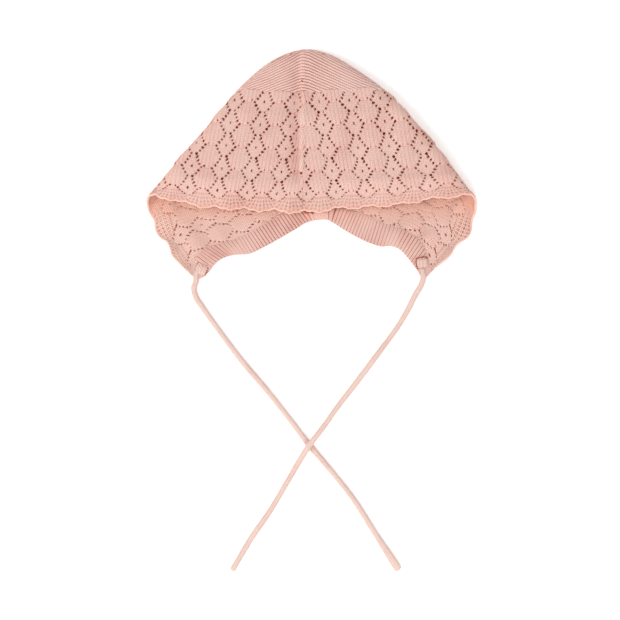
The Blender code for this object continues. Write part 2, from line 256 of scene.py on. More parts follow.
def grid_mesh(name, places, stitches, keep=None, closed=False, **tones):
    """A grid with its points moved to their places, with holes or closed to a tube."""
    rows, columns = places.shape[:2]
    body = bmesh.new()
    bmesh.ops.create_grid(body, x_segments=columns - 1, y_segments=rows - 1, size=0.5)
    mesh = bpy.data.meshes.new(name)
    body.to_mesh(mesh)
    flat = np.zeros(len(mesh.vertices) * 3, np.float32)
    mesh.vertices.foreach_get("co", flat)
    flat = flat.reshape(-1, 3)
    column = np.rint((flat[:, 0] + 0.5) * (columns - 1)).astype(int)
    row = np.rint((flat[:, 1] + 0.5) * (rows - 1)).astype(int)
    mesh.vertices.foreach_set("co", places[row, column].astype(np.float32).ravel())
    corner = np.zeros(len(mesh.loops), np.int32)
    mesh.loops.foreach_get("vertex_index", corner)
    layer = mesh.uv_layers.new(name="stitch")
    layer.data.foreach_set("uv", stitches[row, column][corner].astype(np.float32).ravel())
    for tone, values in tones.items():
        layer = mesh.attributes.new(tone, "FLOAT", "POINT")
        layer.data.foreach_set("value", values[row, column].astype(np.float32).ravel())
    body.free()
    if keep is None and not closed:
        return mesh
    body = bmesh.new()
    body.from_mesh(mesh)
    if keep is not None:
        first = corner.reshape(-1, 4)
        low_row = row[first].min(1)
        low_column = column[first].min(1)
        body.faces.ensure_lookup_table()
        gone = [body.faces[i] for i in np.flatnonzero(~keep[low_row, low_column])]
        bmesh.ops.delete(body, geom=gone, context="FACES")
    if closed:
        bmesh.ops.remove_doubles(body, verts=body.verts, dist=1e-6)
        ends = [edge for edge in body.edges if edge.is_boundary]
        bmesh.ops.holes_fill(body, edges=ends, sides=0)
        bmesh.ops.recalc_face_normals(body, faces=body.faces)
    body.to_mesh(mesh)
    body.free()
    return mesh


# %% [markdown]
# The relief of leaves, ridges and ribs stands square to the cloth, so it is added after the
# sheet has its form. A sheet is one layer of yarn: Solidify thickens it to both sides.

# %% Sheet helpers
def to_fold(along_arc):
    """Which faces of a grid lie inside the fold, or no more than a little past it."""
    return (along_arc[:-1, :-1] + along_arc[1:, 1:]) / 2 > PAST_FOLD


def raised(places, relief):
    """Grid places moved along their own upward normals."""
    along = np.gradient(places, axis=0)
    across = np.gradient(places, axis=1)
    normal = np.cross(across, along)
    normal /= np.maximum(np.linalg.norm(normal, axis=2, keepdims=True), 1e-12)
    return places + normal * relief[..., None]


def knit_sheet(name, places, stitches, keep, material, pierced=False, **tones):
    """A knitted sheet with real thickness. Its eyelets' walls are painted in reddish shade."""
    mesh = grid_mesh(name, places, stitches, keep, **tones)
    piece = show(mesh, name, material)
    solid = piece.modifiers.new("yarn", "SOLIDIFY")
    solid.thickness = YARN_WALL
    solid.offset = 0
    if pierced:
        mesh.materials.append(eyelet_shade_cotton)
        solid.material_offset_rim = 1
    return piece


def declare_cloth(piece):
    """Reads a sheet's points, and does nothing more with them."""
    points = np.zeros(len(piece.data.vertices) * 3)
    piece.data.vertices.foreach_get("co", points)
    points = points.reshape(-1, 3)


print("the cloth is", YARN_WALL * 1000, "mm thick")

# %% [markdown]
# ## The form of the hood
#
# The hood lies in two layers, joined round a soft fold from the left side over the peak to the
# right side. The tables repeat the CAD's outline as shares of the hood's half width and half
# length. The fold line goes on a little past both ends, because the cloth's rim curls there.

# %% Hood form
HALF_WIDTH = 0.1125
HALF_LENGTH = 0.0775
HOOD_RISE = 0.0112  # from the middle of the lower wall to the middle of the upper one
LOWER_MIDDLE = 0.0009  # the height of the lower wall's middle
FOLD_TOP_REACH = 0.0075  # how far inside its line the fold begins on the front
FOLD_FLOOR_REACH = 0.0045  # and on the back
FOLD_WAIST = 0.46  # the share of the rise at which the fold is outermost
MOUTH_SAG, MOUTH_SAG_WIDTH = 0.0036, 0.048
CROWN_DROP = 0.0022
SAG_FROM = 0.35  # the share of the half length where the mouth's sag and the crown's drop begin
ARC_STEPS = 60
CREASE_ACROSS = -0.0058
FOLD_LINE = [  # across, along
    (-1.010, -0.520), (-1.004, -0.421), (-0.998, -0.342), (-0.985, -0.281), (-0.940, -0.202),
    (-0.849, -0.044), (-0.728, 0.167), (-0.601, 0.377), (-0.480, 0.588), (-0.372, 0.746),
    (-0.287, 0.851), (-0.166, 0.952), (-0.021, 1.000), (0.106, 0.956), (0.239, 0.851),
    (0.347, 0.746), (0.486, 0.588), (0.625, 0.377), (0.746, 0.167), (0.861, -0.044),
    (0.940, -0.202), (0.985, -0.281), (0.998, -0.351), (1.004, -0.430), (1.010, -0.520),
]
FACE_EDGE = [  # across, along: a row for each lobe and each notch
    (-1.030, -0.280), (-0.985, -0.255), (-0.940, -0.260), (-0.905, -0.288),
    (-0.820, -0.312), (-0.758, -0.316), (-0.650, -0.384), (-0.598, -0.355),
    (-0.492, -0.397), (-0.411, -0.366), (-0.317, -0.412), (-0.218, -0.377),
    (-0.130, -0.432), (-0.045, -0.395), (0.063, -0.418), (0.160, -0.358),
    (0.257, -0.389), (0.353, -0.346), (0.444, -0.371), (0.535, -0.326),
    (0.625, -0.337), (0.725, -0.275), (0.825, -0.296), (0.905, -0.262),
    (0.945, -0.253), (0.990, -0.262), (1.030, -0.290),
]


def reach_of(points):
    """How far along a line each of its points lies."""
    steps = np.linalg.norm(np.diff(points, axis=0), axis=1)
    return np.concatenate([[0], np.cumsum(steps)])


def through(knots, values, at):
    """Rows of values at places between knots, on smooth curves."""
    slopes = np.gradient(values, knots, axis=0)
    i = np.clip(np.searchsorted(knots, at, side="right") - 1, 0, len(knots) - 2)
    span = (knots[i + 1] - knots[i])[:, None]
    t = (at - knots[i])[:, None] / span
    start = (1 + 2 * t) * (1 - t) ** 2 * values[i] + t * (1 - t) ** 2 * span * slopes[i]
    end = t**2 * (3 - 2 * t) * values[i + 1] - t**2 * (1 - t) * span * slopes[i + 1]
    return start + end


def smooth_curve(points, shares):
    """Points on a smooth curve through a table's rows, at shares of its length."""
    points = np.array(points, float)
    reach = reach_of(points)
    return through(reach, points, np.clip(shares, 0, 1) * reach[-1])


def sized(rows):
    """A table's first two columns in metres."""
    return np.array(rows, float)[:, :2] * (HALF_WIDTH, HALF_LENGTH)


def ease(low, high, value):
    """From 0 at low to 1 at high, smooth at both ends."""
    t = np.clip((value - low) / (high - low), 0, 1)
    return t * t * (3 - 2 * t)


fold = smooth_curve(sized(FOLD_LINE), np.linspace(0, 1, 361))
run = np.gradient(fold, axis=0)
inward = np.stack([run[:, 1], -run[:, 0]], axis=1)
inward /= np.linalg.norm(inward, axis=1)[:, None]
fold = fold + inward * YARN_WALL / 2
print("fold line", round(reach_of(fold)[-1], 3), "m")

# %% [markdown]
# A flat sheet of stitches is laid over the outline and rolled round the fold. The sheet's own
# distance past the fold becomes a distance round a quarter ellipse, so the stitches keep their
# size on the way down, as real cloth does, instead of being stretched over the edge.

# %% Rolling cloth round the fold
def fold_distance(x, y):
    """How far inside the fold line each place lies, and the way inward there."""
    away = np.full(x.shape, np.inf)
    nearest = np.zeros(x.shape, int)
    for i in range(len(fold)):
        d = (x - fold[i, 0]) ** 2 + (y - fold[i, 1]) ** 2
        closer = d < away
        away[closer] = d[closer]
        nearest[closer] = i
    way = inward[nearest]
    side = (x - fold[nearest, 0]) * way[..., 0] + (y - fold[nearest, 1]) * way[..., 1]
    return np.sign(side) * np.sqrt(away), way


def quarter_turn(reach, rise):
    """A quarter ellipse: its arc lengths, and the turn in radians at each of them."""
    turn = np.linspace(0, math.pi / 2, ARC_STEPS)
    steps = np.hypot(np.diff(reach * (1 - np.cos(turn))), np.diff(rise * np.sin(turn)))
    return np.concatenate([[0], np.cumsum(steps)]), turn


def rolled(x, y, reach, rise):
    """Flat places with those near the fold moved round it, their turn and their arc length."""
    arc, turn = quarter_turn(reach, rise)
    inside, way = fold_distance(x, y)
    along_arc = inside + arc[-1] - reach
    angle = np.interp(along_arc, arc, turn)
    moved = np.where(along_arc < arc[-1], reach * (1 - np.cos(angle)), inside)
    x = x + way[..., 0] * (moved - inside)
    y = y + way[..., 1] * (moved - inside)
    return x, y, angle, along_arc


def lift(x, y):
    """How far the upper wall lies above the lower one, apart from the crease."""
    along = y / HALF_LENGTH
    sag = MOUTH_SAG * np.exp(-((x / MOUTH_SAG_WIDTH) ** 2)) * ease(SAG_FROM, -SAG_FROM, along)
    return HOOD_RISE - sag - CROWN_DROP * ease(SAG_FROM, 1.0, along)


def upper_places(x, y, offset):
    """Places on the upper layer over flat places, and how far each is from the outermost line."""
    x, y, angle, along_arc = rolled(x, y, FOLD_TOP_REACH, HOOD_RISE * (1 - FOLD_WAIST))
    rise = lift(x, y)
    waist = FOLD_WAIST * rise
    z = LOWER_MIDDLE + waist + (rise - waist + offset) * np.sin(angle)
    return np.stack([x, y, z], axis=-1), along_arc


def lower_places(x, y, offset):
    """Places on the lower layer over flat places, and how far each is from the outermost line."""
    waist = FOLD_WAIST * HOOD_RISE
    x, y, angle, along_arc = rolled(x, y, FOLD_FLOOR_REACH, waist)
    waist = FOLD_WAIST * lift(x, y)
    z = LOWER_MIDDLE + offset * np.sin(angle) + waist * (1 - np.sin(angle))
    return np.stack([x, y, z], axis=-1), along_arc


print("the front rises", round(float(lift(0.0, 0.0)) * 1000, 1), "mm above the back in the middle")

# %% [markdown]
# ## The lace chart
#
# The lace repeats every 12 stitches and 14 rows: columns of lozenges with one eyelet in the
# middle, between columns of bell-shaped leaves. A zigzag of eyelets runs between the two. The
# chart gives one zigzag, as half widths from the lozenge's middle line. Each side panel's
# columns lean to the middle, so the centre crease takes in more cloth further up.

# %% Lace chart
REPEAT = 0.0201
ROW = 0.0154
STITCHES, ROWS = 12, 14
LEAN = 0.0029  # of each panel's columns to the middle, for one row of lozenges
BOW = 0.00027  # how the rows curve up to both sides
LACE_MIDDLE = (-0.0033, -0.0202)  # the middle of the lowest lozenge in column 0
LEFT_LOWER = 0.00115  # how much lower the left panel's rows lie
LOWEST_ROW_UP = 0.0008
FAN_ROWS = 4.5  # drawn at twice the height of real rows, which would be too fine to show
RIGHT_SAG = 0.0016  # how far the right panel's lower rows sag
# columns and where they lie, in repeats: the right panel is knitted a little wider outward
COLUMN_AT = [(-7, -7.0), (0, 0.0), (1, 1.0), (2, 2.02), (3, 3.06), (4, 4.16), (5, 5.25), (7, 7.5)]
EDGE_DEPTH = 0.80  # the border below the lowest lozenges, in rows of lozenges
TOP_ROW = 4.53
ZIGZAG = [0.318, 0.238, 0.178, 0.117, 0.085, 0.180, 0.250]
# the lowest lozenges end in a tip: its eyelets, and its half width at each depth
LOW_TIP = [(0.258, -0.115), (0.185, -0.215), (0.095, -0.315)]
LOW_TIP_LEVELS = [(0.115, 0.258), (0.215, 0.185), (0.315, 0.095), (0.38, -0.05), (0.8, -0.05)]
EYELET = (0.00073, 0.00098)  # half width and half height
LOW_EYELET = (0.00056, 0.00070)
OUTER_EYELET = (0.412, 0.085)  # its place, at a leaf's bottom corner
OUTER_SIZE = (0.00044, 0.00052)
MIDDLE_EYELET = (0.00055, 0.00115)
MIDDLE_UP = 0.03
SLANT = 0.40  # how far an eyelet leans outward, square to its zigzag


def chart_eyelets(lowest=False):
    """Eyelets round one lozenge: across and up from its middle, half sizes and slant."""
    found = [(0.0, MIDDLE_UP, *MIDDLE_EYELET, 0.0)]
    for side in (-1, 1):
        for step, half in enumerate(ZIGZAG):
            lean = side * (SLANT if step < 4 else -0.1)
            found.append((side * half, step / 7, *EYELET, lean))
            if not lowest:
                found.append((side * half, step / 7 - 1, *EYELET, lean))
        found.append((side * OUTER_EYELET[0], OUTER_EYELET[1], *OUTER_SIZE, 0.0))
        for half, up in LOW_TIP if lowest else []:
            found.append((side * half, up, *LOW_EYELET, 0.0))
    return found


print(len(chart_eyelets()), "eyelets looked at round a lozenge")

# %% [markdown]
# An eyelet is opened by moving the grid points near its rim onto the rim, a slanted ellipse, so
# even a coarse grid gives it a clean edge. Each one differs a little in size, as hand-tensioned
# loops do. The share of a rim tells later steps which faces are holes.

# %% Opening the eyelets
RIM_REACH = (0.55, 1.42)  # grid points at these shares of a rim are moved onto it
UNEVEN = 0.18


def open_eyelets(c, k, scale=1.0):
    """Moves grid points onto eyelet rims. Returns the moved points and their share of a rim."""
    best = np.full(c.shape, 9.0)
    new_c, new_k = c.copy(), k.copy()
    base_c = np.rint(c)
    base_k = np.maximum(np.rint(k), 0)
    for lowest in (False, True):
        rows = (base_k == 0) if lowest else (base_k > 0)
        for across, up, half_wide, half_high, lean in chart_eyelets(lowest):
            for shift in (-1, 0, 1):
                dx = (c - base_c - shift - across) * REPEAT
                dy = (k - base_k - up) * ROW
                place = (base_c + shift + across) * 12.9 + (base_k + up) * 31.7
                size = scale * (1.0 + UNEVEN * np.sin(place * 7.3))
                slanted = dx - lean * dy
                rim = np.sqrt((slanted / half_wide) ** 2 + (dy / half_high) ** 2) / size
                near = rows & (rim < best)
                best = np.where(near, rim, best)
                snap = near & (rim > RIM_REACH[0]) & (rim < RIM_REACH[1])
                pull = np.where(snap, 1 / np.maximum(rim, 1e-6), 1.0) - 1
                new_c = np.where(near, c + np.where(snap, dx * pull / REPEAT, 0), new_c)
                new_k = np.where(near, k + np.where(snap, dy * pull / ROW, 0), new_k)
    return new_c, new_k, best


# %% [markdown]
# Leaves stand proud of the lozenges, and the border below them falls into fans. Ribs and fan
# lines are drawn a little coarser than the real stitches, which would be too fine to show.

# %% Leaves and fans
LEAF_RISE = 0.0011
LEAF_RIB = 0.00013
FAN_RIB = 0.00009
LOBE_WAVE = 0.0003
RIB_STITCHES = 1.5
FAN_LINES = 6.5
LEAF_AT = [-0.03, 0, 0.06, 0.16, 0.45, 0.8, 1]
LEAF_HIGH = [0, 0.3, 0.75, 1, 0.9, 0.35, 0.05]


def leaf_place(c, k):
    """Where a point lies on its leaf or fan: off its middle, half the leaf, in a lozenge, depth."""
    from_leaf = c - 0.5 - np.rint(c - 0.5)
    tip = np.array([(0.0, ZIGZAG[0]), *LOW_TIP_LEVELS])
    low = np.interp(-k, tip[:, 0], tip[:, 1])
    zigzag = np.interp(k - np.floor(k), np.arange(8) / 7, ZIGZAG + [ZIGZAG[0]])
    lozenge = np.where(k < 0, low, zigzag)
    in_lozenge = ease(-0.02, 0.02, lozenge - np.abs(c - np.rint(c)))
    return from_leaf, 0.5 - lozenge, in_lozenge, np.clip(-k / EDGE_DEPTH, 0, 1)


def fan_lines(from_leaf, depth):
    """The border's lines, which fan out under each leaf. They're one for every two stitches."""
    return np.cos(math.tau * from_leaf * FAN_LINES / (0.35 + 0.65 * depth))


def lace_relief(c, k):
    """Leaves stand proud with faint ribs up their middle, and the border has fans."""
    from_leaf, half, in_lozenge, depth = leaf_place(c, k)
    share = np.abs(from_leaf) / half
    crown = np.maximum(1 - share**2, 0) ** 0.7
    phase = np.where(k < 1, k, k - np.floor(k))
    swell = np.interp(phase, LEAF_AT, LEAF_HIGH)
    starting = np.interp(phase, LEAF_AT[1:3], [0, LEAF_HIGH[2]])
    swell = np.where((phase < LEAF_AT[2]) & (k >= 1), starting, swell)
    ribs = LEAF_RIB * np.cos(math.tau * from_leaf * STITCHES / RIB_STITCHES) * ease(0.95, 0.6, share)
    lines = fan_lines(from_leaf, depth)
    fans = ease(0.05, 0.2, depth) * (1 - in_lozenge)
    wave = LOBE_WAVE * np.cos(math.tau * from_leaf) * ease(0.4, 0.9, depth)
    return (LEAF_RISE * crown + ribs) * swell + FAN_RIB * lines * fans + wave


# %% [markdown]
# Painted shade follows the same chart: darker stripes between a leaf's ribs, rows of darker dots
# in the fans, a faint shadow line under each leaf and purl bumps in the plain parts. Each eyelet
# has a painted dark rim, shade where the yarn turns down. All of it goes into the valley
# attribute, which the cotton reads.

# %% Lace tones
STRIPE_SHADE = 0.15
DOT_TONE = 0.58
LEAF_SHADOW_LINE = 0.08
PLAIN_TONE, LOZENGE_TONE = 0.06, 0.10
RIM_WIDTH = 0.3


def lace_painted_shade(c, k, rim, rim_shade):
    """Painted shade: between a leaf's ribs, round eyelets and in the fans."""
    from_leaf, half, in_lozenge, depth = leaf_place(c, k)
    ribs = 0.5 - 0.5 * np.cos(math.tau * from_leaf * STITCHES / RIB_STITCHES)
    lines = fan_lines(from_leaf, depth)
    fans = ease(0.02, 0.2, depth) * ease(1, 0.93, depth) * (1 - in_lozenge)
    dots = (0.5 - 0.5 * lines) * (0.55 + 0.45 * np.cos(math.tau * depth * FAN_ROWS))
    bottom = np.exp(-(((k - np.rint(k) - 0.03) / 0.035) ** 2)) * (np.abs(from_leaf) < half) * (k > 0.5)
    stripes = STRIPE_SHADE * ribs**1.5 * (k > 0) * ease(1.0, 0.7, np.abs(from_leaf) / half)
    purls = np.cos(math.tau * c * STITCHES) * np.cos(math.tau * k * ROWS / 2)
    plain = (k > 0) * (PLAIN_TONE + LOZENGE_TONE * ease(0.85, 1.1, np.abs(from_leaf) / half))
    tone = stripes + DOT_TONE * dots * fans + LEAF_SHADOW_LINE * bottom + plain * purls
    return tone + rim_shade * np.exp(-(((rim - 1.0) / RIM_WIDTH) ** 2))


def knit_uv(c, k):
    """Stitch coordinates, one unit for each stitch and row."""
    return np.stack([c * STITCHES, k * ROWS], axis=-1)


print("one stitch is", round(REPEAT / STITCHES * 1000, 2), "mm wide")

# %% [markdown]
# ## Upper lace
#
# The front of the hood is one sheet of lace from the scalloped edge to the crown. Along the
# centre crease the stitches of both side panels dive into a narrow valley, the left one under
# the right one, so the right one ends in a small bright ridge.

# %% Crease and edge
CREASE_FLANK = (-0.0104, 0.0050)  # middle and reach of the dip beside the crease
CREASE_RIDGE = (-0.0061, 0.0018)
FLANK_DEPTH, RIDGE_HEIGHT = 0.0019, 0.0009
# Painted shade in the dip beside the crease and a painted highlight on its ridge.
FLANK_TONE, RIDGE_TONE = 0.15, 0.10
VALLEY_DEPTH = 0.0012
EDGE_DROOP = 0.0038
EDGE_CALM = 0.35  # how much of the lobes' depth goes
SIDES_FROM = 0.094  # from here outward the edge isn't calmed
RUFFLE = (0.0005, 0.0067)  # height and length of the small waves, three to a lobe
face_edge = smooth_curve(sized(FACE_EDGE), np.linspace(0, 1, 500))
calm_edge = np.convolve(np.pad(face_edge[:, 1], 40, mode="edge"), np.ones(81) / 81, "valid")
face_edge[:, 1] += (calm_edge - face_edge[:, 1]) * EDGE_CALM * (np.abs(face_edge[:, 0]) < SIDES_FROM)
face_edge[:, 1] += RUFFLE[0] * np.sin(math.tau * face_edge[:, 0] / RUFFLE[1])


def crease_parts(x):
    """Shares of the dip on the left of the crease and of the soft ridge on it."""
    parts = (CREASE_FLANK, CREASE_RIDGE)
    return [np.exp(-(((x - middle) / reach) ** 2)) for middle, reach in parts]


def crease_offset(x, strength):
    """How far the cloth dips on the left of the crease and stands up on it."""
    flank, ridge = crease_parts(x)
    return strength * (RIDGE_HEIGHT * ridge - FLANK_DEPTH * flank)


def crease_tone(x, k):
    """The dip gets painted shade and the ridge a painted highlight."""
    flank, ridge = crease_parts(x)
    return ease(0.2, 1.2, k) * (FLANK_TONE * flank - RIDGE_TONE * ridge * ease(4.3, 3.6, k))


print("face edge", round(reach_of(face_edge)[-1] * 1000), "mm from fold to fold")

# %% [markdown]
# Both panels come from the same chart. Each is a grid from its outer end to the crease, with
# three grid faces to a stitch, which is fine enough for a clean rim round each eyelet.

# %% Upper lace
FINE = (36, 34)  # grid faces for each repeat across and for each row of lozenges
LACE_COLUMNS = (-6.2, 6.1)
LACE_ROWS = (-EDGE_DEPTH, TOP_ROW)


def flat_lace(c, k):
    """Flat places of lace points, their dip in the crease and whether they are in its valley."""
    high = np.maximum(k, 0)
    column = np.interp(c, *np.array(COLUMN_AT).T)
    left = LACE_MIDDLE[0] + column * REPEAT + high * LEAN
    right = LACE_MIDDLE[0] + column * REPEAT - high * LEAN
    taken = 2 * high * LEAN
    share = np.where(taken > 1e-6, np.clip((left - CREASE_ACROSS) / np.maximum(taken, 1e-6), 0, 1), 0)
    inside = (left > CREASE_ACROSS) & (right < CREASE_ACROSS)
    x = np.where(left <= CREASE_ACROSS, left, np.where(right >= CREASE_ACROSS, right, CREASE_ACROSS))
    valley = np.where(inside, 1 - np.abs(2 * share - 1), 0)
    y = LACE_MIDDLE[1] + high * ROW + BOW * c**2 - LEFT_LOWER * ease(1.3, -0.2, c)
    y = y + LOWEST_ROW_UP * ease(1, 0, high)
    y = y - RIGHT_SAG * ease(0.5, 2.5, c) * ease(0.2, 0.9, high) * ease(3.2, 2.4, high)
    edge = np.interp(x, face_edge[:, 0], face_edge[:, 1])
    depth = np.clip(-k / EDGE_DEPTH, 0, 1)
    y = y * (1 - depth) + edge * depth
    strength = ease(0.1, 1.3, k)
    sideways = np.abs(x)  # the edge droops least in the middle of the mouth and most beside it
    low = 0.6 + 0.75 * ease(0.010, 0.035, sideways) - 0.35 * ease(0.070, 0.095, sideways)
    droop = EDGE_DROOP * ease(0.6, -EDGE_DEPTH, k) * low
    dip = crease_offset(x, strength) - valley * np.minimum(VALLEY_DEPTH, taken / 2) - droop
    return x, y, dip


# The eyelets' rims get painted shade, and the border's last rows a painted peach glow.
EYELET_RIM_SHADE = 0.34
EDGE_GLOW = 0.6
RIM_ROLL = 0.00018  # the yarn stands up a little round an eyelet
HOLE_RIM = 0.93  # faces nearer to an eyelet's middle than this share of its rim are holes


def chart_grid(*ranges):
    """The columns and rows of a grid's points on the chart."""
    lines = [np.linspace(*ends, round(np.ptp(ends) * fine) + 1) for ends, fine in zip(ranges, FINE)]
    return np.meshgrid(*lines)


def upper_lace(name, columns):
    """One panel of the upper lace."""
    c, k = chart_grid(columns, LACE_ROWS)
    moved_c, moved_k, rim = open_eyelets(c, k)
    moved_k = np.clip(moved_k, *LACE_ROWS)
    moved_c[:, 0], moved_c[:, -1] = c[:, 0], c[:, -1]
    x, y, dip = flat_lace(moved_c, moved_k)
    places, along_arc = upper_places(x, y, dip)
    relief = lace_relief(moved_c, moved_k) + RIM_ROLL * np.exp(-(((rim - 1.25) / 0.35) ** 2))
    places = raised(places, relief)
    middle_rim = (rim[:-1, :-1] + rim[1:, :-1] + rim[:-1, 1:] + rim[1:, 1:]) / 4
    keep = (middle_rim > HOLE_RIM) & to_fold(along_arc)
    valley = lace_painted_shade(moved_c, moved_k, rim, EYELET_RIM_SHADE) + crease_tone(x, moved_k)
    tones = {"valley": valley, "glow": EDGE_GLOW * ease(-0.58, -0.78, moved_k)}
    return knit_sheet(name, places, knit_uv(c, k), keep, lace_cotton, pierced=True, **tones)


SPLIT = (CREASE_ACROSS - LACE_MIDDLE[0]) / REPEAT
left_lace = upper_lace("left_lace", (LACE_COLUMNS[0], SPLIT))
right_lace = upper_lace("right_lace", (SPLIT, LACE_COLUMNS[1]))
for piece in (left_lace, right_lace):
    print(piece.name, len(piece.data.polygons), "faces before its thickness")

# %% [markdown]
# ## Crown
#
# The crown is plain garter stitch. Its ridges climb to the crease on both sides like rafters,
# steeper near the middle. The grid is upright and the ridges are its relief.

# %% Crown
CROWN_RIDGES = [  # across from the crease, fall of the lowest ridge there, ridge pitch there
    (-0.10, 0.0310, 0.00145), (-0.04, 0.0120, 0.00152), (-0.024, 0.0068, 0.00162),
    (-0.012, 0.0030, 0.00180), (-0.004, 0.0005, 0.00198), (0.0, 0.0, 0.00205),
    (0.004, 0.0008, 0.00204), (0.012, 0.0038, 0.00196), (0.024, 0.0080, 0.00182),
    (0.04, 0.0140, 0.00170), (0.10, 0.0330, 0.00155),
]
CROWN_BOTTOM = 0.0485
CROWN_TOP = 0.0875
# The small hole is painted, as a dark spot of shade.
CROWN_HOLE = (-0.0061, 0.0564)  # a small hole where the decreases meet in the crease
RIDGE_RISE = 0.00045
GROOVE_SHADE = 0.72


def crown_level(x, y):
    """How many ridges up the crown a place lies."""
    across, falls, pitches = np.array(CROWN_RIDGES).T
    fall = np.interp(x - CREASE_ACROSS, across, falls)
    return (y - CROWN_BOTTOM + fall) / np.interp(x - CREASE_ACROSS, across, pitches)


def make_crown():
    """The crown, from the lace's last row to the peak."""
    x_line = np.linspace(-0.078, 0.078, 340)
    t_line = np.linspace(0, 1, 128)
    x, t = np.meshgrid(x_line, t_line)
    c = (x - LACE_MIDDLE[0]) / REPEAT
    bottom = LACE_MIDDLE[1] + (TOP_ROW - 0.08) * ROW + BOW * c**2
    y = bottom + t * (CROWN_TOP - bottom)
    level = crown_level(x, y)
    swell = 0.5 + 0.5 * np.cos(math.tau * level)
    dip = crease_offset(x, 1.0 - 0.7 * t)
    places, along_arc = upper_places(x, y, dip)
    places = raised(places, RIDGE_RISE * swell**0.7 + 0.0003 * ease(0.0, 0.03, t))
    stitches = np.stack([x / REPEAT * STITCHES * 1.2, 2 * level], axis=-1)
    # Painted shade in the grooves between the ridges, in the dip beside the crease and in the hole. The
    # crown's right side is painted a little lighter.
    flank, ridge = crease_parts(x)
    hole = np.exp(-((np.hypot(x - CROWN_HOLE[0], (y - CROWN_HOLE[1]) * 0.6) / 0.0006) ** 2))
    stitches_seen = 0.75 + 0.25 * np.cos(math.tau * (x / 0.0017 + level))
    groove_shade = GROOVE_SHADE * (1 - swell) ** 2 * (1 - 0.5 * ridge) * stitches_seen
    valley = groove_shade + 0.13 * flank + 0.5 * hole - 0.10 * ease(0.0, 0.02, x)
    return knit_sheet("crown", places, stitches, to_fold(along_arc), crown_cotton, valley=valley)


crown = make_crown()
print("crown ridges", round(float(np.ptp(crown_level(0.0, np.array([CROWN_BOTTOM, HALF_LENGTH]))))))

# %% [markdown]
# ## Lower lace
#
# Left and right of the mouth the lower layer shows its inner face. Its columns start square to
# the scalloped side edge and then run along the band. Two tables give the middles of its
# lozenges and of the gaps between them, and the lace is drawn through them on smooth curves. Its
# eyelets are pressed shut against the surface, so here they are small pits, painted dark for
# the shade in them.

# %% Corner tables
CORNER_ROWS = [-0.8, -0.33, 0.0, 0.5, 1.0, 1.5, 2.0, 2.5, 3.0, 4.0]
LEFT_CORNER = {  # column: across and along at each of the rows, in mm
    -3: [
        (-117.3, -14.3), (-114.6, -9.5), (-111.9, -5.4), (-105.7, 0.0), (-99.6, 4.8), (-92.8, 9.5),
        (-86.0, 13.6), (-79.2, 17.7), (-71.7, 21.8), (-56.8, 29.2),
    ],
    -2: [
        (-114.2, -23.8), (-108.5, -19.0), (-104.4, -15.6), (-97.6, -12.2), (-89.4, -8.8), (-81.3, -6.1),
        (-73.1, -3.4), (-64.9, -0.7), (-56.1, 2.0), (-39.1, 7.5),
    ],
    -1: [
        (-107.1, -38.8), (-101.0, -31.3), (-96.2, -26.5), (-90.4, -26.9), (-81.3, -25.2),
        (-73.1, -23.1), (-64.9, -19.7), (-56.8, -17.0), (-48.6, -14.3), (-32.3, -8.8),
    ],
    0: [
        (-101.0, -50.3), (-93.2, -52.0), (-89.4, -47.8), (-82.4, -43.7), (-75.3, -40.8), (-66.8, -38.8),
        (-59.8, -35.6), (-51.1, -32.8), (-43.5, -29.2), (-28.2, -23.1),
    ],
    1: [
        (-92.8, -62.9), (-83.6, -66.0), (-78.9, -63.0), (-72.1, -57.8), (-65.3, -56.4), (-57.5, -53.4),
        (-50.3, -49.4), (-43.5, -46.6), (-35.7, -42.6), (-20.7, -36.7),
    ],
    2: [
        (-79.2, -75.8), (-74.5, -78.2), (-71.1, -76.8), (-63.6, -73.4), (-55.4, -70.7), (-47.9, -67.3),
        (-40.5, -63.2), (-33.0, -59.2), (-26.2, -55.8), (-13.3, -49.6),
    ],
}
RIGHT_CORNER = {  # column: across and along at each of the rows, in mm
    -3: [(-across, along) for across, along in LEFT_CORNER[-3]],
    -2: [
        (114.2, -23.8), (110.5, -19.0), (106.4, -15.6), (99.6, -12.2), (91.5, -8.8), (83.3, -6.1),
        (75.1, -3.4), (67.0, -0.7), (58.1, 2.0), (41.1, 7.5),
    ],
    -1: [
        (108.5, -38.1), (103.7, -32.0), (98.9, -27.2), (93.5, -26.5), (84.7, -25.2), (75.8, -22.8),
        (68.3, -19.7), (60.2, -17.0), (52.0, -14.3), (35.7, -8.8),
    ],
    0: [
        (101.7, -51.7), (94.5, -53.0), (91.5, -47.9), (85.7, -42.5), (80.2, -35.9), (73.4, -31.6),
        (65.6, -29.2), (58.1, -28.2), (50.7, -25.2), (35.7, -19.7),
    ],
    1: [
        (92.5, -63.9), (84.7, -66.0), (80.6, -61.9), (74.8, -52.0), (69.7, -49.6), (61.2, -45.6),
        (55.1, -44.9), (49.0, -42.2), (42.8, -38.8), (28.9, -32.6),
    ],
    2: [
        (78.5, -73.4), (75.8, -78.2), (72.4, -76.8), (64.9, -73.4), (57.5, -70.7), (50.0, -67.3),
        (42.5, -63.2), (35.0, -59.2), (28.2, -55.8), (15.3, -49.6),
    ],
}
LEFT_RIM = [  # column, across and along of the side edge, in mm
    (-3.0, -117.3, -14.3), (-2.3, -114.9, -22.4), (-1.75, -112.2, -26.7), (-1.35, -109.8, -32.6),
    (-1.0, -106.2, -38.4), (-0.75, -106.0, -42.8), (-0.45, -104.0, -47.3), (-0.2, -101.7, -49.8),
    (0.0, -98.6, -51.5), (0.2, -97.0, -53.7), (0.45, -95.5, -57.5), (0.65, -94.9, -60.5),
    (0.85, -92.8, -63.4), (1.15, -89.8, -66.4), (1.5, -86.7, -69.6), (2.0, -81.9, -73.8),
]
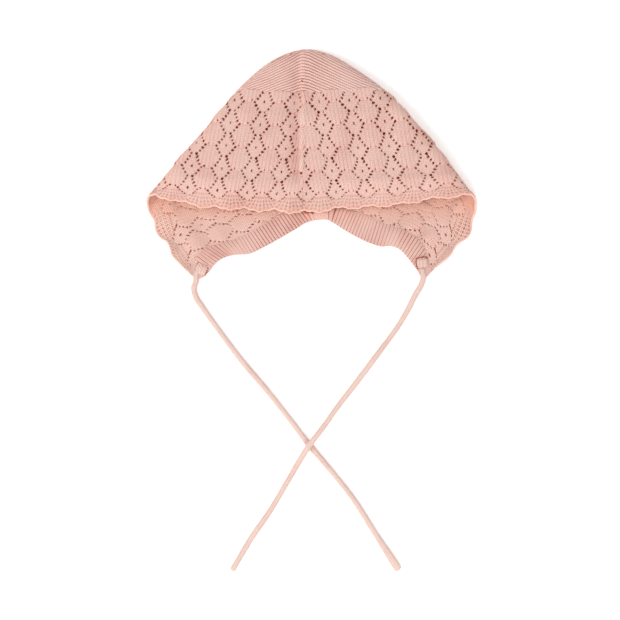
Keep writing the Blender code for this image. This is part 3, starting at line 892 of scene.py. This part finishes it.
RIGHT_RIM = [
    (-3.0, 117.3, -14.3), (-2.3, 114.9, -22.4), (-1.75, 112.4, -27.9), (-1.4, 111.5, -32.4),
    (-1.1, 109.3, -36.2), (-0.9, 108.5, -39.8), (-0.6, 108.1, -44.2), (-0.4, 107.1, -47.3),
    (-0.2, 104.7, -50.0), (0.0, 101.3, -52.0), (0.2, 98.5, -54.1), (0.4, 96.4, -57.1),
    (0.65, 94.8, -60.2), (0.95, 91.7, -63.6), (1.3, 88.0, -66.4), (1.65, 84.3, -69.0),
    (2.0, 79.2, -72.4),
]
print(len(LEFT_CORNER) * len(CORNER_ROWS), "places for each corner")

# %% [markdown]
# The corners end at the neck band, so its outline is needed first. Its table has both edges of
# the band, with the strength of its ribs.

# %% Band table
NECK_BAND = [  # across and along of the join and of the neck edge, strength of the ribs
    (-0.737, -0.934, -0.731, -0.961, 0.0), (-0.731, -0.895, -0.680, -0.998, 0.0),
    (-0.716, -0.851, -0.622, -0.939, 0.0), (-0.686, -0.781, -0.595, -0.882, 0.5),
    (-0.650, -0.732, -0.553, -0.825, 1.0), (-0.601, -0.706, -0.511, -0.798, 1.0),
    (-0.529, -0.675, -0.456, -0.785, 0.2), (-0.444, -0.636, -0.384, -0.779, 0.4),
    (-0.366, -0.579, -0.299, -0.724, 1.0), (-0.263, -0.496, -0.196, -0.643, 1.0),
    (-0.172, -0.421, -0.106, -0.566, 1.0), (-0.088, -0.364, -0.021, -0.496, 1.0),
    (0.003, -0.338, 0.033, -0.482, 0.0), (0.076, -0.340, 0.094, -0.480, 0.0),
    (0.154, -0.368, 0.124, -0.498, 1.0), (0.239, -0.399, 0.190, -0.560, 1.0),
    (0.317, -0.430, 0.263, -0.621, 1.0), (0.390, -0.474, 0.347, -0.679, 1.0),
    (0.462, -0.518, 0.420, -0.713, 0.6), (0.529, -0.553, 0.480, -0.711, 0.2),
    (0.589, -0.588, 0.532, -0.737, 1.0), (0.644, -0.640, 0.574, -0.798, 1.0),
    (0.683, -0.719, 0.613, -0.868, 1.0), (0.704, -0.798, 0.640, -0.925, 0.3),
    (0.716, -0.868, 0.662, -0.974, 0.0), (0.719, -0.912, 0.692, -0.980, 0.0),
    (0.721, -0.930, 0.713, -0.947, 0.0),
]
band_table = np.array(NECK_BAND) * (HALF_WIDTH, HALF_LENGTH, HALF_WIDTH, HALF_LENGTH, 1)
band_inner = smooth_curve(band_table[:, :2], np.linspace(0, 1, 400))
print("band", round(reach_of(band_inner)[-1] * 1000), "mm along the join")

# %% [markdown]
# A point of the chart finds its place between the nearest four points of a fine map, which is
# made once from a table. Near the side edge it slides onto the edge's own curve.

# %% Corner map
ROW_ENDS = (-EDGE_DEPTH, 4.0)
COLUMN_ENDS = (-3.0, 2.0)
MAP_ROWS = np.linspace(*ROW_ENDS, 121)
MAP_COLUMNS = np.linspace(*COLUMN_ENDS, 126)


def corner_map(table):
    """A fine grid of places over a corner's columns and rows."""
    given = np.array(list(table.values())).transpose(1, 0, 2).reshape(len(CORNER_ROWS), -1)
    rows = through(np.array(CORNER_ROWS), given, MAP_ROWS).reshape(len(MAP_ROWS), len(table), 2)
    rows = rows.transpose(1, 0, 2).reshape(len(table), -1)
    columns = through(np.array(list(table), float), rows, MAP_COLUMNS)
    return columns.reshape(len(MAP_COLUMNS), len(MAP_ROWS), 2) / 1000


def on_line(line, at):
    """The map point before a value on an even line, and the value's share of the way on."""
    index = np.clip((at - line[0]) / np.ptp(line), 0, 0.99999) * (len(line) - 1)
    return index.astype(int), (index - index.astype(int))[..., None]


def flat_corner(table, rim_table, c, k):
    """Flat places of lace points in a lower corner."""
    places = corner_map(table)
    i, s = on_line(MAP_COLUMNS, c)
    j, t = on_line(MAP_ROWS, k)
    flat = (places[i, j] * (1 - s) + places[i + 1, j] * s) * (1 - t)
    flat = flat + (places[i, j + 1] * (1 - s) + places[i + 1, j + 1] * s) * t
    knots = np.array(rim_table)
    edge = through(knots[:, 0], knots[:, 1:], np.clip(c, *COLUMN_ENDS).ravel())
    edge = edge.reshape(*c.shape, 2) / 1000
    start = places[i, 0] * (1 - s) + places[i + 1, 0] * s
    flat = flat + (edge - start) * ease(-0.2, -EDGE_DEPTH, k)[..., None]
    return flat[..., 0], flat[..., 1]


print("map", len(MAP_COLUMNS), "by", len(MAP_ROWS))

# %% [markdown]
# The corners use the same chart, relief and painted shade as the front. The back of the cloth
# is less raised, and the band covers their last rows. Near the fold and under the front the light
# comes through a second layer, and a painted peach glow stands for it there.

# %% Lower corners
PIT_SCALE = 0.95
PIT_SHADE = 1.1
PIT_DEPTH = 0.0004
PIT_RIM_SHADE = 0.38
FOLD_GLOW, FRONT_GLOW, MOST_GLOW = 0.9, 0.65, 0.9
JOIN_LAP = -0.0012  # cloth is kept up to here under the band


def above_band(places):
    """Which faces lie on the hood's side of the neck band."""
    above = places[..., 1] - np.interp(places[..., 0], band_inner[:, 0], band_inner[:, 1])
    return above[:-1, :-1] > JOIN_LAP


def lower_lace(name, table, rim_table, flip):
    """One lower corner of the lace, up to the neck band."""
    c, k = chart_grid(COLUMN_ENDS, ROW_ENDS)
    moved_c, moved_k, rim = open_eyelets(c, k, PIT_SCALE)
    moved_k = np.clip(moved_k, *ROW_ENDS)
    x, y = flat_corner(table, rim_table, moved_c, moved_k)
    places, along_arc = lower_places(x, y, 0.0)
    relief = 0.5 * lace_relief(moved_c, moved_k) - PIT_DEPTH * ease(1.1, 0.7, rim)
    valley = lace_painted_shade(moved_c, moved_k, rim, PIT_RIM_SHADE) + PIT_SHADE * ease(1.15, 0.75, rim)
    under_front = ease(-0.042, -0.026, y) * ease(0.006, 0.040, np.abs(x))
    glow = FOLD_GLOW * np.exp(-((along_arc / 0.0062) ** 2)) + FRONT_GLOW * under_front
    glow = np.clip(glow, 0, MOST_GLOW)
    stitches = knit_uv(c, k)
    if flip:
        turned = (grid[:, ::-1] for grid in (places, relief, along_arc, valley, glow, stitches))
        places, relief, along_arc, valley, glow, stitches = turned
    places = raised(places, relief)
    places[..., 2] = np.maximum(places[..., 2], YARN_WALL / 2)
    keep = to_fold(along_arc) & above_band(places)
    return knit_sheet(name, places, stitches, keep, inside_cotton, valley=valley, glow=glow)


left_corner = lower_lace("left_corner", LEFT_CORNER, LEFT_RIM, False)
right_corner = lower_lace("right_corner", RIGHT_CORNER, RIGHT_RIM, True)

# %% [markdown]
# ## Back
#
# Under the front the lower layer goes on up to the fold. It shows only through the mouth and
# the eyelets, so its grid is coarser. Light that gets in there is coloured by the yarn: its inner
# face is painted in a deeper, redder shade, with a faint painted glow.

# %% Back
BACK_FROM, BACK_TO = (-0.118, -0.040), (0.118, 0.085)
BACK_ROWS = 0.0022  # the pitch of its knitted rows
ENCLOSED_SHADE = 0.62


def make_back():
    """The lower layer under the front, painted in shade inside and paler outside."""
    x_line = np.linspace(BACK_FROM[0], BACK_TO[0], 200)
    x, y = np.meshgrid(x_line, np.linspace(BACK_FROM[1], BACK_TO[1], 120))
    places, along_arc = lower_places(x, y, 0.0)
    ridge = 0.00012 * np.cos(math.tau * y / BACK_ROWS)
    places = raised(places, ridge - 0.00015)
    stitches = np.stack([x / REPEAT * STITCHES, y / ROW * ROWS], axis=-1)
    enclosed_shade = ENCLOSED_SHADE * ease(-0.026, -0.014, y)
    middle = (np.abs(x) < 0.034) | (y > -0.019)
    keep = to_fold(along_arc) & above_band(places) & middle[:-1, :-1]
    piece = knit_sheet("back", places, stitches, keep, enclosed_shade_cotton, valley=enclosed_shade)
    piece.data.materials.append(outside_cotton)
    piece.modifiers["yarn"].material_offset = 1
    return piece


back = make_back()
print("back", len(back.data.polygons), "faces")

# %% [markdown]
# ## Neck band
#
# The band is knit one, purl one: round ribs with narrow valleys, square to the neck edge. The
# ribs melt away in two soft bulges and at the nape, where the photo shows none.

# %% Neck band
RIB_PITCH = 0.0023
RIB_RISE = 0.00105
RIB_GROOVE_SHADE = 1.8
BULGE = 0.0012
BAND_HEIGHT = 0.00085
BAND_GLOW = 0.35


def make_band():
    """The ribbed band, nine grid faces to a rib."""
    join_at, neck_at = reach_of(band_table[:, :2]), reach_of(band_table[:, 2:4])
    ribs = round(neck_at[-1] / RIB_PITCH)
    share = np.linspace(0, 1, ribs * 9 + 1)
    inner = smooth_curve(band_table[:, :2], np.interp(share, neck_at / neck_at[-1], join_at / join_at[-1]))
    outer = smooth_curve(band_table[:, 2:4], share)
    strength = np.interp(share, neck_at / neck_at[-1], band_table[:, 4])
    t = np.linspace(0, 1, 31)[:, None]
    x = inner[:, 0] * (1 - t) + outer[:, 0] * t
    y = inner[:, 1] * (1 - t) + outer[:, 1] * t
    phase = share * ribs
    rib = RIB_RISE * (np.abs(np.sin(math.pi * phase)) ** 0.8 - 0.5) * (0.06 + 0.94 * strength)
    fade = ease(0.0, 0.08, t) * ease(1.0, 0.96, t)
    bulge = BULGE * (1 - strength) * np.sin(math.pi * t) * (np.abs(share - 0.5) < 0.42)
    z = BAND_HEIGHT + 0.0003 * ease(0.0, 0.25, t) + rib * (0.3 + 0.7 * fade) + bulge
    z = np.maximum(z, 0.55 * YARN_WALL)
    places = np.stack([x, y, np.broadcast_to(z, x.shape)], axis=-1)
    rows = np.linalg.norm(outer - inner, axis=1) / 0.0012
    stitches = np.stack([np.broadcast_to(phase, x.shape), t * rows], axis=-1)
    # Painted shade in the grooves between the ribs, a little weaker to the right, and a painted peach glow
    # where the band lies nearest the mouth.
    groove_shade = RIB_GROOVE_SHADE * (1 - np.abs(np.sin(math.pi * phase))) ** 1.1 * (0.05 + 0.95 * strength)
    glow = BAND_GLOW * ease(-0.043, -0.029, y)
    valley = (groove_shade * ease(-0.1, 0.12, t) * (1 - 0.15 * ease(0.0, 0.03, x)))[::-1]
    tones = {"valley": valley, "glow": glow[::-1]}
    return knit_sheet("ribbed_band", places[::-1], stitches[::-1], None, rib_cotton, **tones)


neck_band = make_band()
print("band", len(neck_band.data.polygons), "faces")

# %% [markdown]
# ## Chain edge
#
# The last row is bound off in a chain that rolls a little. It runs from the left tie corner up
# the side, round the fold, along the scallops and down the other side. It is a thin tube that
# swells once a stitch, on the very edge of the sheets.

# %% Tube helper
def tube(name, path, radius, around, stitch, material):
    """A tube along a path of points. radius(share, turn) gives its two half sizes."""
    path = np.array(path)
    run = np.gradient(path, axis=0)
    run /= np.linalg.norm(run, axis=1)[:, None]
    side = np.cross(run, (0, 0, 1.0))
    side /= np.linalg.norm(side, axis=1)[:, None]
    up = np.cross(side, run)
    turn = np.linspace(0, math.tau, around + 1)
    reach = reach_of(path)
    wide, high = radius(reach[:, None], turn[None, :])
    places = (
        path[:, None]
        + side[:, None] * (np.cos(turn) * wide)[..., None]
        + up[:, None] * (np.sin(turn) * high)[..., None]
    )
    round_and_along = np.broadcast_arrays(turn / math.tau * stitch[0], reach[:, None] / stitch[1])
    stitches = np.stack(round_and_along, axis=-1)
    mesh = grid_mesh(name, places[:, ::-1], stitches[:, ::-1], closed=True)
    return show(mesh, name, material)


# %% [markdown]
# The edge's path is put together from five lines: both sides, both folds and the scallops. Its
# points are spread evenly and smoothed, so that the chain runs round the corners without a kink.

# %% Chain edge
STITCH_LENGTH = 0.0018
CHAIN_HALF = (0.00078, 0.00072)


def evenly(path, step):
    """A path with points a step apart."""
    reach = reach_of(path)
    at = np.linspace(0, reach[-1], round(reach[-1] / step) + 1)
    return np.stack([np.interp(at, reach, path[:, i]) for i in range(3)], axis=1)


def softened(path, times):
    """A path with its small kinks smoothed out."""
    for _ in range(times):
        middle = (path[:-2] + 2 * path[1:-1] + path[2:]) / 4
        path = np.concatenate([path[:1], middle, path[-1:]])
    return path


def side_path(rim_table):
    """The rim of a lower corner, from the fold to the tie corner."""
    knots = np.array(rim_table)
    flat = through(knots[:, 0], knots[:, 1:], np.linspace(*COLUMN_ENDS, 250)) / 1000
    places, along_arc = lower_places(flat[:, 0], flat[:, 1], 0.0)
    return places[along_arc > 0.0003]


def face_path():
    """The edge of the upper lace, from fold to fold."""
    c = np.linspace(*LACE_COLUMNS, 500)
    x, y, dip = flat_lace(c, np.full(c.shape, -EDGE_DEPTH))
    places, along_arc = upper_places(x, y, dip)
    return places[along_arc > 0.0]


def chain_radius(reach, turn):
    """The chain's half sizes, which swell once a stitch."""
    swell = 1 + 0.20 * np.cos(math.tau * reach / STITCH_LENGTH + np.cos(turn))
    return CHAIN_HALF[0] * swell, CHAIN_HALF[1] * swell


def fold_between(first, last):
    """The fold line between two places on it, at its own height."""
    low, high = sorted((first[1], last[1]))
    part = fold[(fold[:, 0] * first[0] > 0) & (fold[:, 1] > low) & (fold[:, 1] < high)]
    return np.column_stack([part, np.full(len(part), LOWER_MIDDLE + FOLD_WAIST * HOOD_RISE)])


left_side, front, right_side = side_path(LEFT_RIM)[::-1], face_path(), side_path(RIGHT_RIM)
left_turn = fold_between(left_side[-1], front[0])
right_turn = fold_between(front[-1], right_side[0])
whole_edge = np.concatenate([left_side, left_turn, front, right_turn, right_side])
whole_edge = softened(evenly(whole_edge, 0.00045), 8)
chain_edge = tube("chain_edge", whole_edge, chain_radius, 10, (2, STITCH_LENGTH), edge_cotton)
print("edge", len(whole_edge), "rings,", round(reach_of(whole_edge)[-1] * 1000), "mm")

# %% [markdown]
# ## Tie patches
#
# Small knitted squares cover the sewn ends of the ties, a shade lighter than the band, with
# their seam as a dark line round them. A grid pulled halfway to a circle gives the soft corners.

# %% Patches
PATCH_HALF = (0.0040, 0.0034)
PATCH_HEIGHT = 0.0032
PATCH_STITCH = (0.0019, 0.0015)
LEFT_TURN, RIGHT_TURN = -0.35, 0.12


def node_middle(node):
    """The middle of a CAD node's box."""
    low, high = (np.array(corner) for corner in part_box(node))
    return (low + high) / 2


def sewn_patch(node, name, turn):
    """A soft rounded square with a stitched border. Returns its middle."""
    middle = node_middle(node)
    u, v = np.meshgrid(np.linspace(-1, 1, 25), np.linspace(-1, 1, 25))
    square = np.maximum(np.abs(u), np.abs(v))
    circle = np.hypot(u, v)
    pull = np.where(circle > 0, square / np.maximum(circle, 1e-9), 1) * 0.45 + 0.55
    x, y = u * pull * PATCH_HALF[0], v * pull * PATCH_HALF[1]
    z = PATCH_HEIGHT - 0.0012 * square**3 + 0.0002 * np.cos(u * 9) * (square < 0.8)
    spun_x = x * math.cos(turn) - y * math.sin(turn)
    spun_y = x * math.sin(turn) + y * math.cos(turn)
    places = np.stack([middle[0] + spun_x, middle[1] + spun_y, z], axis=-1)
    stitches = np.stack([x / PATCH_STITCH[0], y / PATCH_STITCH[1]], axis=-1)
    # Painted shade in the grooves between the patch's stitch columns.
    column_shade = 0.16 * np.abs(np.cos(math.pi * x / PATCH_STITCH[0])) ** 3
    piece = show(grid_mesh(name, places, stitches, valley=column_shade), name, patch_cotton)
    solid = piece.modifiers.new("yarn", "SOLIDIFY")
    solid.thickness = 0.0008
    solid.offset = -1
    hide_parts(node)
    return middle


left_middle = sewn_patch("left_tie_patch", "left_patch", LEFT_TURN)
right_middle = sewn_patch("right_tie_patch", "right_patch", RIGHT_TURN)
print("patches at", left_middle.round(3), right_middle.round(3))

# %% [markdown]
# The seams are sewing thread that dips in and out of the cloth, a thin tube on a wavy path. At
# the nape the end of the gathered seam shows as a short, pleated roll of the same thread.

# %% Seams
THREAD = 0.00032
SEAM_HEIGHT = 0.0022
NAPE_HALF_LENGTH = 0.0036
NAPE_HEIGHT = 0.0030


def patch_seam(name, middle, turn, angles):
    """The seam round a patch, a thin thread that dips in and out."""
    t = np.linspace(*angles, 90)
    reach = PATCH_HALF[0] / np.maximum(np.abs(np.cos(t)), np.abs(np.sin(t))) ** 0.72
    x, y = reach * np.cos(t + turn), reach * np.sin(t + turn)
    z = SEAM_HEIGHT + 0.0004 * np.sin(t * 14)
    path = np.stack([middle[0] + x, middle[1] + y, z], axis=1)
    piece = tube(name, path, lambda reach, turn: (THREAD, THREAD), 8, (2, 0.001), thread_cotton)


patch_seam("left_patch_seam", left_middle, LEFT_TURN, (-0.7, 2.6))
patch_seam("right_patch_seam", right_middle, RIGHT_TURN, (0.6, 4.0))


def make_nape_seam():
    """The end of the gathered seam."""
    middle = node_middle("nape_seam")
    t = np.linspace(-1, 1, 60)
    x = middle[0] + t * NAPE_HALF_LENGTH
    y = middle[1] - t * 0.0010 + 0.0005 * np.sin(t * 5)
    z = NAPE_HEIGHT + 0.0006 * (1 - t**2) + 0.0002 * np.sin(t * 14)
    path = np.stack([x, y, z], axis=1)

    def gathered(reach, turn):
        """Half sizes with five pleats, thin at both ends."""
        swell = 0.4 + 0.6 * np.sin(np.clip(reach / 0.0076, 0, 1) * math.pi) ** 0.5
        pleat = 1 + 0.14 * np.cos(turn * 5 + reach * 2500)
        return 0.0013 * swell * pleat, 0.0009 * swell * pleat

    piece = tube("gathered_seam", path, gathered, 20, (4, 0.0012), thread_cotton)
    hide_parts("nape_seam")
    print("nape seam", round(reach_of(path)[-1] * 1000, 1), "mm")


make_nape_seam()

# %% [markdown]
# ## Ties
#
# Each tie is a narrow knitted tube, pressed a little flat, with the stitch columns running
# along it. The routes are the CAD's. A tie comes out from under its corner and lies on the
# surface in one soft curve, and the right one passes over the left one.

# %% Ties
LEFT_TIE_ROUTE = [
    (-0.0784, -0.0789, 0.0019), (-0.0799, -0.0836, 0.0019), (-0.0785, -0.0898, 0.0019),
    (-0.0738, -0.0972, 0.0019), (-0.0636, -0.1115, 0.0019), (-0.0467, -0.1340, 0.0019),
    (-0.0297, -0.1540, 0.0019), (-0.0152, -0.1723, 0.0019), (-0.0020, -0.1897, 0.0019),
    (0.0105, -0.2045, 0.0019), (0.0282, -0.2267, 0.0019), (0.0430, -0.2500, 0.0019),
    (0.0595, -0.2754, 0.0019),
]
RIGHT_TIE_ROUTE = [
    (0.0760, -0.0768, 0.0019), (0.0742, -0.0822, 0.0019), (0.0709, -0.0877, 0.0019),
    (0.0660, -0.0975, 0.0019), (0.0585, -0.1101, 0.0019), (0.0470, -0.1258, 0.0019),
    (0.0307, -0.1476, 0.0019), (0.0180, -0.1640, 0.0022), (0.0080, -0.1780, 0.0040),
    (-0.0016, -0.1905, 0.0059), (-0.0096, -0.2035, 0.0040), (-0.0180, -0.2180, 0.0022),
    (-0.0278, -0.2345, 0.0019), (-0.0405, -0.2530, 0.0019), (-0.0540, -0.2757, 0.0019),
]
TIE_WIDTH = 0.0035
TIE_HALF_HEIGHT = 0.00125
TIE_COLUMNS = 6
TIE_ROW = 0.0013
ROUTE_HEIGHT, TIE_HEIGHT = 0.0019, 0.00145  # of the routes on the surface, and of a pressed tie
CROSSING_HEIGHT = 0.78  # the share of a route's rise that a pressed tie needs


def make_tie(node, name, sewn, route, end_width):
    """A knitted tie along its route."""
    path = smooth_curve(sewn + route, np.linspace(0, 1, 340))
    long = reach_of(path)[-1]
    path[:, 2] = TIE_HEIGHT + (path[:, 2] - ROUTE_HEIGHT) * CROSSING_HEIGHT

    def knitted(reach, turn):
        """Half sizes with columns and rows, closed at both ends."""
        near_end = ease(long - 0.03, long - 0.004, reach)
        wide = TIE_WIDTH / 2 * (1 + 0.05 * np.sin(reach * 95) + (end_width / TIE_WIDTH - 1) * near_end)
        high = TIE_HALF_HEIGHT * (1 - 0.25 * near_end)
        closing = np.sqrt(np.clip((long - reach) / 0.0012, 0.02, 1)) * np.clip(reach / 0.001 + 0.3, 0, 1)
        columns = 1 + 0.07 * np.cos(turn * TIE_COLUMNS)
        rows = 1 + 0.025 * np.cos(math.tau * reach / TIE_ROW)
        return wide * columns * rows * closing, high * columns * rows * closing

    piece = tube(name, path, knitted, 36, (TIE_COLUMNS, TIE_ROW), tie_cotton)
    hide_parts(node)
    print(name, "is", round(long * 1000), "mm long")


LEFT_SEWN = [(-0.0770, -0.0715, 0.0020), (-0.0784, -0.0744, 0.0020), (-0.0786, -0.0769, 0.0019)]
RIGHT_SEWN = [(0.0752, -0.0700, 0.0020), (0.0757, -0.0723, 0.0020), (0.0760, -0.0746, 0.0019)]
make_tie("left_tie", "left_ribbon", LEFT_SEWN, LEFT_TIE_ROUTE, 0.0052)
make_tie("right_tie", "right_ribbon", RIGHT_SEWN, RIGHT_TIE_ROUTE, 0.0036)

# %% [markdown]
# ## What stands for what
#
# The hood's CAD wall is replaced by the sheets of lace, and the band's by the ribbed one.

# %% Hiding the CAD parts
for piece in (left_lace, right_lace, crown, left_corner, right_corner, back, chain_edge):
    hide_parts("hood")
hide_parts("neck_band")
for piece in (back, left_corner, right_corner, neck_band):
    declare_cloth(piece)
for piece in (left_lace, right_lace, crown):
    declare_cloth(piece)

# %% [markdown]
# ## Surface and light
#
# The surface is plain white paper. One big soft box on each side and an even pale sky give
# the flat light of a product table, with faint shadows under the mouth and the ties.

# %% Stage
PAPER_LIGHT = 0.14  # the photo's paper is burnt out to white, so it gives off a little light
SKY_LIGHT = 0.91


def make_surface():
    """A sheet of white paper."""
    body = bmesh.new()
    bmesh.ops.create_grid(body, x_segments=1, y_segments=1, size=2.5)
    mesh = bpy.data.meshes.new("surface")
    body.to_mesh(mesh)
    body.free()
    paper = bpy.data.materials.new("white_paper")
    paper.use_nodes = True
    shader = paper.node_tree.nodes["Principled BSDF"]
    shader.inputs["Base Color"].default_value = hex_color("#fbfbfa")
    shader.inputs["Emission Color"].default_value = hex_color("#ffffff")
    shader.inputs["Emission Strength"].default_value = PAPER_LIGHT
    shader.inputs["Roughness"].default_value = 0.9
    mesh.materials.append(paper)
    surface = bpy.data.objects.new("surface", mesh)
    bpy.context.collection.objects.link(surface)


def soft_box(name, place, size, power):
    """A round soft light that faces the hood."""
    light = bpy.data.lights.new(name, "AREA")
    light.shape = "DISK"
    light.size = size
    light.energy = power
    holder = bpy.data.objects.new(name, light)
    holder.location = place
    holder.rotation_euler = (Vector((0, -0.05, 0)) - Vector(place)).to_track_quat("-Z", "Y").to_euler()
    bpy.context.collection.objects.link(holder)


make_surface()
soft_box("key_light", (-1.4, -0.1, 1.2), 0.7, 13.5)
soft_box("front_light", (0.3, -1.7, 1.0), 0.8, 14)
sky = bpy.data.worlds.new("pale_sky")
sky.use_nodes = True
sky.node_tree.nodes["Background"].inputs["Color"].default_value = hex_color("#ffffff")
sky.node_tree.nodes["Background"].inputs["Strength"].default_value = SKY_LIGHT
bpy.context.scene.world = sky
bpy.context.scene.view_settings.view_transform = "Standard"
print(len(bpy.data.lights), "lights")

# %% [markdown]
# ## Finishing the scene
#
# The view layer is brought up to date.

# %% Finishing the scene
bpy.context.view_layer.update()
